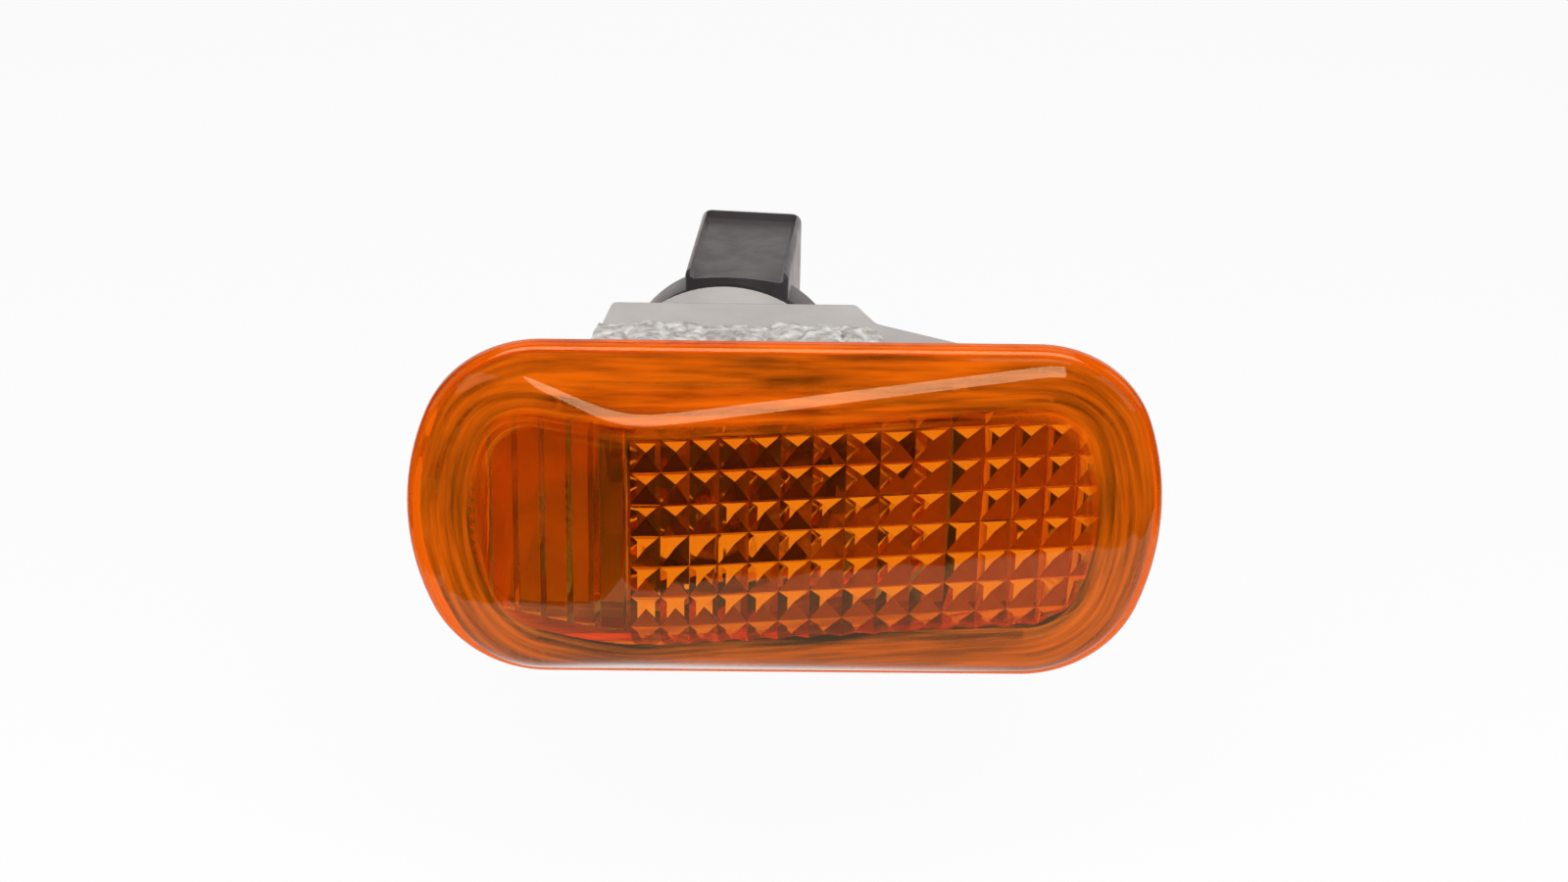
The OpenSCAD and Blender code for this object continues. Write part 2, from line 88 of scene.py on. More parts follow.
@dataclass(frozen=True)
class CameraFit:
    """Camera read from the outline of the lens in the photo. Angles are in degrees and lengths in millimetres.

    The aim says how many pixels the origin lies right of and below the middle of the picture.
    """

    azimuth: float = -1.5
    elevation: float = 28.0
    roll: float = 1.27
    distance: float = 273.35
    focal: float = 67.5
    sensor: float = 36.0
    aim_right: float = 1.18
    aim_down: float = 69.3
    image_width: float = 1600.0

    def build(self) -> bpy.types.Object:
        """Makes the camera and turns it to the fitted aim.

        Returns:
            The camera object, set as the scene's camera.
        """
        azimuth, elevation, roll = (math.radians(v) for v in (self.azimuth, self.elevation, self.roll))
        outward = Vector((math.sin(azimuth) * math.cos(elevation), -math.cos(azimuth) * math.cos(elevation),
                          math.sin(elevation)))
        right = Vector((math.cos(azimuth), math.sin(azimuth), 0.0))
        up = outward.cross(right)
        tilted_right = right * math.cos(roll) + up * math.sin(roll)
        tilted_up = up * math.cos(roll) - right * math.sin(roll)
        data = bpy.data.cameras.new("Camera")
        data.lens = self.focal
        data.sensor_width = self.sensor
        data.clip_start = 0.01
        camera = bpy.data.objects.new("Camera", data)
        pixel = self.distance * self.sensor / self.focal / self.image_width
        target = (tilted_up * self.aim_down - tilted_right * self.aim_right) * pixel
        back = (outward * self.distance - target).normalized()
        side = (tilted_right - back * tilted_right.dot(back)).normalized()
        turn = Matrix((side, back.cross(side), back)).transposed()
        camera.matrix_world = Matrix.Translation((outward * self.distance + Vector(SEAT)) * MM) @ turn.to_4x4()
        bpy.context.scene.collection.objects.link(camera)
        bpy.context.scene.camera = camera
        return camera


def make_object(name: str, points: Array, faces: list, sharp_deg: float | None = 30.0) -> bpy.types.Object:
    """Makes a mesh object from points in millimetres, with its normals turned outward.

    The points are measured from the back of the lens rim, and SEAT moves them to the seat of the frame.

    Args:
        name: Name of the object and its mesh.
        points: Array of shape (n, 3).
        faces: Index lists, of any length, or an integer array.
        sharp_deg: Edges sharper than this keep a hard line, or None for flat faces all over.

    Returns:
        The new object, linked to the scene.
    """
    mesh = bpy.data.meshes.new(name)
    face_list = faces.tolist() if isinstance(faces, np.ndarray) else faces
    mesh.from_pydata(((np.asarray(points, float) + SEAT) * MM).tolist(), [], face_list)
    work = bmesh.new()
    work.from_mesh(mesh)
    bmesh.ops.remove_doubles(work, verts=work.verts, dist=1e-6)
    bmesh.ops.recalc_face_normals(work, faces=work.faces)
    if work.calc_volume(signed=True) < 0:
        bmesh.ops.reverse_faces(work, faces=work.faces)
    work.to_mesh(mesh)
    work.free()
    obj = bpy.data.objects.new(name, mesh)
    bpy.context.scene.collection.objects.link(obj)
    shade(mesh, sharp_deg)
    return obj


def shade(mesh: bpy.types.Mesh, sharp_deg: float | None) -> None:
    """Shades a mesh smooth, with hard lines where it bends by more than an angle.

    Args:
        mesh: The mesh to shade.
        sharp_deg: That angle in degrees, or None for flat faces.
    """
    mesh.polygons.foreach_set("use_smooth", np.full(len(mesh.polygons), sharp_deg is not None))
    if sharp_deg is not None:
        mesh.set_sharp_from_angle(angle=math.radians(sharp_deg))
    mesh.update()


def join_solids(base: bpy.types.Object, other: bpy.types.Object, operation: str) -> None:
    """Replaces the mesh of base by its union, difference or intersection with other, and deletes other.

    Args:
        base: The object that is changed.
        other: The object that is used up.
        operation: One of UNION, DIFFERENCE and INTERSECT.
    """
    modifier = base.modifiers.new("join", "BOOLEAN")
    modifier.operation = operation
    modifier.solver = "MANIFOLD"
    modifier.object = other
    evaluated = base.evaluated_get(bpy.context.evaluated_depsgraph_get())
    mesh = bpy.data.meshes.new_from_object(evaluated)
    base.modifiers.clear()
    base.data = mesh
    bpy.data.objects.remove(other)


def ring_faces(rings: int, points: int, closed: bool = False) -> Array:
    """Quads between stacked rings of points.

    Args:
        rings: Number of rings.
        points: Number of points in a ring.
        closed: True if the last ring joins the first one.

    Returns:
        Array of shape (quads, 4).
    """
    ring, point = np.meshgrid(np.arange(rings if closed else rings - 1), np.arange(points), indexing="ij")
    nxt_ring, nxt_point = (ring + 1) % rings, (point + 1) % points
    quads = np.stack([ring * points + point, nxt_ring * points + point, nxt_ring * points + nxt_point,
                      ring * points + nxt_point], axis=-1)
    return quads.reshape(-1, 4)


def prism(name: str, outline: Array, low: float, high: float, along: str) -> bpy.types.Object:
    """A solid with a flat outline, drawn out along an axis of the lamp.

    Args:
        name: Name of the object.
        outline: Array of shape (n, 2): x and y for an outline drawn out along z, x and z for one along y.
        low: Its start on that axis.
        high: Its end on that axis.
        along: The letter y or z.

    Returns:
        The solid, with flat faces.
    """
    n = len(outline)
    ends = []
    for level in (low, high):
        fill = np.full(n, level)
        columns = (outline[:, 0], outline[:, 1], fill) if along == "z" else (outline[:, 0], fill, outline[:, 1])
        ends.append(np.stack(columns, -1))
    faces = ring_faces(2, n).tolist() + [list(range(n)), list(range(2 * n - 1, n - 1, -1))]
    return make_object(name, np.concatenate(ends), faces, None)


def stack_rings(name: str, rings: list, sharp_deg: float | None = 30.0,
                closed: bool = False) -> bpy.types.Object:
    """A solid from stacked rings of equal length, with flat ends unless the stack is closed on itself.

    Args:
        name: Name of the object.
        rings: Arrays of shape (n, 3).
        sharp_deg: Passed on to make_object.
        closed: True if the last ring joins the first one.

    Returns:
        The solid.
    """
    points = np.stack(rings)
    m, n = points.shape[:2]
    faces = ring_faces(m, n, closed).tolist()
    if not closed:
        faces += [list(range(n)), list(range(m * n - 1, (m - 1) * n - 1, -1))]
    return make_object(name, points.reshape(-1, 3), faces, sharp_deg)


def value_noise(points: Array, size: float, seed: int) -> Array:
    """Smooth noise from random values on a lattice, blended with 3 t^2 - 2 t^3 between its points.

    Args:
        points: Array of shape (..., 3) in millimetres.
        size: Size of a lattice cell in millimetres.
        seed: Seed of the random values.

    Returns:
        Array of values from -1 to 1.
    """
    rng = np.random.default_rng(seed)
    order, values = rng.permutation(256), rng.uniform(-1, 1, 256)
    q = points / size
    cell = np.floor(q).astype(int)
    t = q - cell
    t = t * t * (3 - 2 * t)
    total = np.zeros(points.shape[:-1])
    for corner in np.ndindex(2, 2, 2):
        i, j, k = ((cell[..., a] + corner[a]) & 255 for a in range(3))
        weight = np.ones_like(total)
        for a in range(3):
            weight = weight * (t[..., a] if corner[a] else 1 - t[..., a])
        total += weight * values[order[(order[(order[i] + j) & 255] + k) & 255]]
    return total


def rounded_rectangle(width: float, height: float, radius: float, steps: int = 8) -> Array:
    """A rectangle about the origin with round corners, as an array of shape (n, 2).

    Args:
        width: Its width.
        height: Its height.
        radius: Radius of its corners.
        steps: Steps along a corner.

    Returns:
        Array of shape (n, 2).
    """
    a = np.linspace(0, math.pi / 2, steps + 1)
    parts = []
    for sx, sy, start in ((1, 1, 0), (-1, 1, 1), (-1, -1, 2), (1, -1, 3)):
        turn = a + start * math.pi / 2
        centre = (sx * (width / 2 - radius), sy * (height / 2 - radius))
        parts.append(np.stack([centre[0] + radius * np.cos(turn), centre[1] + radius * np.sin(turn)], -1))
    return np.concatenate(parts)


def along_axis(points: Array) -> Array:
    """Turns points drawn along the bulb axis into lamp coordinates.

    With yaw q: (u, v, w) goes to start + (u cos q + w sin q, w cos q - u sin q, -v), so that w runs rearwards.

    Args:
        points: Array of shape (..., 3).

    Returns:
        Array of the same shape.
    """
    u, v, w = points[..., 0], points[..., 1], points[..., 2]
    c, s = math.cos(AXIS_YAW), math.sin(AXIS_YAW)
    return np.stack([u * c + w * s, w * c - u * s, -v], -1) + AXIS_START


def level_ring(flat: Array, level: float) -> Array:
    """A flat outline of shape (n, 2) set at a level of the bulb axis, in lamp coordinates."""
    return along_axis(np.concatenate([flat, np.full((len(flat), 1), level)], -1))


def soft_min(a: Array, b: Array, k: float) -> Array:
    """Smooth minimum of two fields: min(a, b) - k ln(1 + exp(-|a - b| / k)).

    Args:
        a: First field.
        b: Second field.
        k: Width of the blend.

    Returns:
        The blended field.
    """
    return np.minimum(a, b) - k * np.log1p(np.exp(-np.abs(a - b) / k))


@dataclass(frozen=True)
class LensForm:
    """The form of the amber lens.

    The values are those of the construction model, apart from a crest 0.14 lower, so that the smooth curve stays
    inside the box of the faceted solid.
    """

    width: float = 70.0
    height: float = 34.4
    corner_left: float = 11.6
    corner_right: float = 11.4
    bow_left: float = 26.0
    bow_right: float = 29.0
    rim: float = 1.4
    wall: float = 2.2
    crest_h: float = 7.46
    crest_x: float = -14.6
    slope_left: float = 0.39
    slope_right: float = 0.125
    land: float = 4.2
    skirt_depth: float = 3.2
    skirt_wall: float = 1.8
    blend: float = 0.7
    crown: float = 0.7
    shoulder_slope: float = 1.45
    shoulder_start: float = 0.8
    inner_inset: float = 11.0
    bow_steps: int = 24
    corner_steps: int = 30
    side_steps: int = 72

    def ends(self) -> list[tuple[int, float, float, float]]:
        """The right and the left end: the side, the corner radius, the bow radius and the corner centre's x.

        A corner centre lies at x = w/2 - B + sqrt((B - R)^2 - (h/2 - R)^2), z = h/2 - R, for a bow radius B and a
        corner radius R, so that the arcs meet without a kink.

        Returns:
            One tuple for each end.
        """
        w, h = self.width / 2, self.height / 2
        pairs = ((1, self.corner_right, self.bow_right), (-1, self.corner_left, self.bow_left))
        return [(side, r, bow, w - bow + math.sqrt((bow - r) ** 2 - (h - r) ** 2)) for side, r, bow in pairs]

    def outline(self, inset: float) -> Array:
        """The outline of the lens drawn in by inset, seen from the front.

        At each end a bow arc lies between two corner arcs.

        Args:
            inset: Distance inward from the outline.

        Returns:
            Array of shape (n, 2) with x and z.
        """
        w, h = self.width / 2, self.height / 2
        parts = []
        for side, corner, bow, cx in self.ends():
            turn = math.asin((h - corner) / (bow - corner))
            a = np.linspace(turn, math.pi / 2, self.corner_steps + 1)
            b = np.linspace(-turn, turn, self.bow_steps + 1)
            upper = np.stack([cx + (corner - inset) * np.cos(a), h - corner + (corner - inset) * np.sin(a)], -1)
            end = np.stack([w - bow + (bow - inset) * np.cos(b), (bow - inset) * np.sin(b)], -1)
            lower = upper[::-1] * (1, -1)
            arc = np.concatenate([lower[:-1], end, upper[1:]])
            parts.append(arc * (side, 1) if side > 0 else (arc * (side, 1))[::-1])
        right, left = parts
        k = np.arange(1, self.side_steps)[:, None] / self.side_steps
        top = right[-1] * (1 - k) + left[0] * k
        bottom = left[-1] * (1 - k) + right[0] * k
        return np.concatenate([right, top, left, bottom])

    def inset_at(self, x: Array, z: Array) -> Array:
        """How far points lie inside the outline: the least of their distances to sides, bows and corners.

        Args:
            x: Places along the lamp.
            z: Heights above its middle.

        Returns:
            The insets of the points.
        """
        h = self.height / 2
        inset = h - np.abs(z)
        for side, corner, bow, cx in self.ends():
            along, bow_x = x * side, self.width / 2 - bow
            inset = np.minimum(inset, bow - np.hypot(np.maximum(along - bow_x, 0), z))
            far = (along > cx) & (np.abs(z) > (h - corner) * (along - bow_x) / (cx - bow_x))
            rounded = corner - np.hypot(along - cx, np.abs(z) - (h - corner))
            inset = np.where(far, rounded, inset)
        return inset

    def face(self, x: Array, z: Array) -> Array:
        """Height of the face in front of the rim's back: two slopes that meet softly at the crest, and a crown.

        face = soft_min(H + a (x - x0), H - b (x - x0)) + c (1 - (2 z / h)^2).

        Args:
            x: Places along the lamp.
            z: Heights above its middle.

        Returns:
            The heights of the face.
        """
        along = x - self.crest_x
        blunt, long = self.crest_h + self.slope_left * along, self.crest_h - self.slope_right * along
        slopes = soft_min(blunt, long, self.blend)
        return slopes + self.crown * (1 - (2 * z / self.height) ** 2)

    def front(self, x: Array, z: Array, inset: Array | float) -> Array:
        """Height of the outer skin: the face, cut by a shoulder that rises from the rim with the inset.

        front = max(rim, soft_min(face, rim + s (d - d0) + k / 2)), for an inset d.

        Args:
            x: Places along the lamp.
            z: Heights above its middle.
            inset: Distance inward from the outline at those places.

        Returns:
            The heights of the skin.
        """
        shoulder = self.rim + self.shoulder_slope * (inset - self.shoulder_start) + self.blend / 2
        return np.maximum(self.rim, soft_min(self.face(x, z), shoulder, self.blend))

    def inner(self, x: Array, z: Array) -> Array:
        """Depth of the plain inner skin, a wall behind the face, with the inset taken from the long sides."""
        inset = np.maximum(self.land + self.skirt_wall, self.height / 2 - np.abs(z))
        return self.wall - self.front(x, z, inset)


@dataclass(frozen=True)
class LensBuilder:
    """Builds the lens: a smooth shell of rings, joined with the pyramids, the flutes and the rack inside it."""

    form: LensForm = LensForm()
    pitch_x: float = 2.9
    pitch_z: float = 3.2
    columns: int = 15
    rows: int = 8
    peak: float = 1.1
    field_top: float = 13.25
    field_start: float = 0.5
    drift: float = 1.1
    drift_columns: float = 10.5
    flute_count: int = 6
    flute_pitch: float = 2.5
    flute_height: float = 0.6
    flute_low: float = -9.6
    flute_share: float = 0.8
    flute_end: float = 0.4
    slab: float = 1.2
    rack_teeth: int = 17
    rack_pitch: float = 1.1
    rack_depth: float = 0.7
    edge_soft: float = 0.15
    land_middle: float = 2.0
    rim_chamfer: float = 0.12
    rim_side: float = 0.5
    rim_radius: float = 0.8
    crease_deg: float = 17.0

    def ring(self, inset: float, depth: float) -> Array:
        """A flat ring of points at an inset and a depth."""
        xz = self.form.outline(inset)
        return np.stack([xz[:, 0], np.full(len(xz), depth), xz[:, 1]], -1)

    def skin_ring(self, inset: float, squeeze: float, inner: bool) -> Array:
        """A ring on the outer or the inner skin.

        Args:
            inset: Distance inward from the outline.
            squeeze: Share by which the ring is drawn to the middle line, from 0 to 1.
            inner: True for the inner skin.

        Returns:
            Array of shape (n, 3).
        """
        xz = self.form.outline(inset) * (1, 1 - squeeze)
        x, z = xz[:, 0], xz[:, 1]
        depth = inset + squeeze * (self.form.height / 2 - inset)
        if inner:
            y = self.form.wall - self.form.front(x, z, depth - self.form.wall / 2)
        else:
            y = -self.form.front(x, z, depth)
        return np.stack([x, y, z], -1)

    def shell(self) -> bpy.types.Object:
        """The closed shell, ring by ring from the middle of the inner skin to the middle of the outer skin.

        Returns:
            The shell.
        """
        f = self.form
        cavity = f.land + f.skirt_wall
        squeezes = np.linspace(1, 0, 19)
        rings = [self.skin_ring(f.inner_inset, s, True) for s in squeezes]
        rings += [self.skin_ring(d, 0, True) for d in np.linspace(f.inner_inset, cavity, 22)[1:]]
        soft, side, round_off = self.edge_soft, self.rim_side, self.rim_radius
        rings += [self.ring(cavity, y) for y in (f.skirt_depth - soft, f.skirt_depth)]
        rings += [self.ring(f.land + soft, f.skirt_depth), self.ring(f.land, f.skirt_depth - soft)]
        rings += [self.ring(f.land, y) for y in (soft, 0.0)]
        rings += [self.ring(d, 0.0) for d in (f.land - soft, self.land_middle, self.rim_chamfer)]
        edge = np.linspace(0, math.pi / 2, 9)
        rings += [self.ring(0.0, -self.rim_chamfer), self.ring(0.0, -side)]
        rings += [self.ring(round_off * (1 - math.cos(a)), -side - (f.rim - side) * math.sin(a))
                  for a in edge[1:]]
        rings += [self.skin_ring(d, 0, False) for d in np.r_[0.95:8:0.16, 8.2:f.inner_inset:0.4, f.inner_inset]]
        rings += [self.skin_ring(f.inner_inset, s, False) for s in squeezes[::-1][1:]]
        points = np.stack(rings)
        faces = ring_faces(points.shape[0], points.shape[1])
        return make_object("lens_amber", points.reshape(-1, 3), faces)

    def pyramids(self) -> bpy.types.Object:
        """The field of pyramids on a slab that is sunk in the wall, with their tips towards the bulb.

        The columns drift towards the crest: x_i = x_0 + p i - D sin(pi min(i, n) / n).

        Returns:
            The closed field of pyramids, with flat faces.
        """
        nx, nz = self.columns, self.rows
        count = np.arange(nx + 1)
        drift = self.drift * np.sin(math.pi * np.minimum(count, self.drift_columns) / self.drift_columns)
        columns = self.form.crest_x + self.field_start + count * self.pitch_x - drift
        rows = self.field_top - (nz - np.arange(nz + 1)) * self.pitch_z
        x, z = np.meshgrid(columns, rows, indexing="ij")
        corners = np.stack([x, self.form.inner(x, z) + 0.01, z], -1).reshape(-1, 3)
        tx, tz = np.meshgrid((columns[1:] + columns[:-1]) / 2, (rows[1:] + rows[:-1]) / 2, indexing="ij")
        tips = np.stack([tx, self.form.inner(tx, tz) + self.peak, tz], -1).reshape(-1, 3)
        fronts = corners - (0, self.slab, 0)
        at = np.arange((nx + 1) * (nz + 1)).reshape(nx + 1, nz + 1)
        tip = (len(corners) + np.arange(nx * nz)).reshape(nx, nz)
        base = len(corners) + len(tips)
        a, b, c, d = at[:-1, :-1], at[1:, :-1], at[1:, 1:], at[:-1, 1:]
        tri = [np.stack(t, -1).reshape(-1, 3) for t in ((a, b, tip), (b, c, tip), (c, d, tip), (d, a, tip),
                                                         (a + base, c + base, b + base),
                                                         (a + base, d + base, c + base))]
        rim = np.concatenate([at[:-1, 0], at[-1, :-1], at[:0:-1, -1], at[0, :0:-1]])
        nxt = np.roll(rim, -1)
        side = [np.stack([rim, rim + base, nxt + base], -1), np.stack([rim, nxt + base, nxt], -1)]
        faces = np.concatenate(tri + side)
        return make_object("pyramids", np.concatenate([corners, tips, fronts]), faces, None)

    def slope(self, x: Array) -> Array:
        """Depth of the plain inner skin along the middle of the blunt slope."""
        f = self.form
        return f.wall - f.crest_h + f.slope_left * np.maximum(0, f.crest_x - x) - f.crown / 2

    def flutes(self) -> bpy.types.Object:
        """Upright saw teeth on the inside of the blunt slope, each with a wide face and a narrow riser.

        Returns:
            The closed solid of the flutes.
        """
        end = self.form.crest_x + self.flute_end
        start = end - self.flute_count * self.flute_pitch
        low = start + np.arange(self.flute_count) * self.flute_pitch
        high = low + self.flute_share * self.flute_pitch
        foot = np.stack([low, self.slope(low)], -1)
        crest = np.stack([high, self.slope(high) + self.flute_height], -1)
        ridge = np.stack([foot, crest], 1).reshape(-1, 2)
        close = np.array([[end, self.slope(end)], [end, self.slope(end) - self.slab],
                          [start, self.slope(start) - self.slab]])
        return prism("flutes", np.concatenate([ridge, close]), self.flute_low, self.field_top, "z")

    def rack(self) -> bpy.types.Object:
        """Small teeth down the blunt end of the cavity.

        Returns:
            The closed solid of the teeth.
        """
        f = self.form
        inset = f.land + f.skirt_wall
        x0, x1 = inset - f.skirt_wall / 2 - f.width / 2, inset + self.rack_depth - f.width / 2
        low = -self.rack_teeth * self.rack_pitch / 2
        z = low + np.arange(self.rack_teeth) * self.rack_pitch
        teeth = np.stack([np.stack([z * 0 + x1 - self.rack_depth, z], -1),
                          np.stack([z * 0 + x1, z + self.rack_pitch / 2], -1)], 1).reshape(-1, 2)
        outline = np.concatenate([[[x0, low]], teeth, [[x1 - self.rack_depth, -low], [x0, -low]]])
        return prism("rack", outline, float(self.slope(np.array(x1))), f.skirt_depth, "y")

    def build(self) -> bpy.types.Object:
        """Joins shell, pyramids and flutes into one moulding.

        Returns:
            The lens object.
        """
        lens = self.shell()
        f = self.form
        inside = f.outline(f.land + f.skirt_wall / 2)
        for part in (self.pyramids(), self.flutes(), self.rack()):
            join_solids(part, prism("inside", inside, -f.crest_h, f.skirt_depth, "y"), "INTERSECT")
            join_solids(lens, part, "UNION")
        shade(lens.data, self.crease_deg)
        self.mark_edge(lens.data)
        return lens

    def mark_edge(self, mesh: bpy.types.Mesh) -> None:
        """Stores how far each point lies inside the outline, as the attribute inset, in millimetres.

        Args:
            mesh: The mesh of the lens.
        """
        points = np.empty(len(mesh.vertices) * 3)
        mesh.vertices.foreach_get("co", points)
        points = points.reshape(-1, 3) / MM - SEAT
        inset = self.form.inset_at(points[:, 0], points[:, 2])
        attribute = mesh.attributes.new("inset", "FLOAT", "POINT")
        attribute.data.foreach_set("value", inset.astype(np.float32))


@dataclass(frozen=True)
class BeadBuilder:
    """Builds the rough sealing bead in the corner between the plug and the box."""

    back: float = 5.2
    end: float = 12.2
    half: float = 12.8
    draft: float = 0.15
    top_draft: float = 0.02
    depth: float = 18.6
    left: float = -16.5
    knee: float = 8.6
    run: float = 14.0
    foot: float = 13.4
    root: float = 1.2
    taper: float = 0.75
    proud: float = 0.12
    sink: float = 0.3
    dent_pitch: float = 3.3
    dent: float = 0.8
    smooth_from: float = 7.5
    smooth_over: float = 3.0
    ramp_foot: float = 0.16
    ramp_sink: float = 1.15
    lumps: tuple = ((0.34, 2.9, 3), (0.2, 1.2, 5), (0.1, 0.5, 7))
    side_step: float = 0.1
    side_lump: float = 0.25
    end_tear: float = 0.5
    levels: int = 44

    def section(self, y: float, grow: float, side: float) -> Array:
        """The outline of the box at a depth, grown by a height above and below and by another at its sides.

        Args:
            y: The depth.
            grow: Growth above and below.
            side: Growth at the left and at the right.

        Returns:
            Array of shape (n, 3), with evenly spaced points.
        """
        left = self.left - self.draft * (self.depth - y) - side
        right = self.knee + self.run * (self.foot - y) / (self.foot - self.back) + side
        half = self.half + self.top_draft * (self.depth - y) + grow
        u = np.linspace(0, 1, 170, endpoint=False)[:, None]
        v = np.linspace(0, 1, 120, endpoint=False)[:, None]
        corners = np.array([[left, half], [right, half], [right, -half], [left, -half]])
        sides = [corners[k] * (1 - t) + corners[(k + 1) % 4] * t for k, t in enumerate((u, v, u, v))]
        flat = np.concatenate(sides)
        return np.stack([flat[:, 0], np.full(len(flat), y), flat[:, 1]], -1)

    def build(self) -> bpy.types.Object:
        """A closed band round the box, lumpy and torn on its outside, smooth where it runs out along the slope.

        A ring at the share t of the depth is the box grown by r - w t above and below, and there by lumps of
        noise less dents every few millimetres. On the slope it sinks under the box behind its foot.

        Returns:
            The bead object.
        """
        depths = np.linspace(self.back, self.end, self.levels)
        share = (depths - self.back) / (self.end - self.back)
        rings = [self.torn_ring(y, t) for y, t in zip(depths, share)]
        rings += [self.section(y, -self.sink, -self.sink) for y in (self.end - 0.05, self.back + 0.05)]
        return stack_rings("bead_rough", rings, 50.0, closed=True)

    def torn_ring(self, y: float, t: float) -> Array:
        """One torn ring of the band.

        Above and below it moves out by q (n - p - d) - s (1 - q), for lumps n, dents d, the plain height p, the
        sink s of the ramp and a share q that falls from 1 to 0 towards the ramp.

        Args:
            y: Its depth.
            t: Its share of the band's depth.

        Returns:
            Array of shape (n, 3).
        """
        ring = self.section(y, self.root - self.taper * t, self.proud)
        rough = np.clip((self.smooth_from + self.smooth_over - ring[:, 0]) / self.smooth_over, 0.0, 1)
        lumps = sum(height * value_noise(ring, size, seed) for height, size, seed in self.lumps)
        wave = np.abs((ring[:, 0] / self.dent_pitch + 0.5 * value_noise(ring, 4.0, 9)) % 1 - 0.5) * 2
        dent = self.dent * np.clip(1 - 1.6 * wave - 0.9 * t, 0, 1)
        out = np.clip(ring[:, 2] / 6, -1, 1)
        ring[:, 2] += out * (rough * (lumps - self.proud - dent) - self.ramp_sink * (1 - rough))
        ring[:, 1] += rough * t ** 6 * self.end_tear * value_noise(ring, 0.9, 11)
        side = self.side_lump * np.abs(lumps)
        ring[ring[:, 0] < self.left, 0] -= self.side_step
        ring[:, 0] -= np.where(ring[:, 0] < self.left, side * (1 - t ** 4), 0)
        foot = np.clip((t - self.ramp_foot) / self.ramp_foot, 0, 1)
        ramp = ring[:, 0].max() - ring[:, 0] < 1e-6
        ring[:, 0] += np.where(ramp, side * (1 - foot) - 2 * self.sink * foot, 0)
        return ring


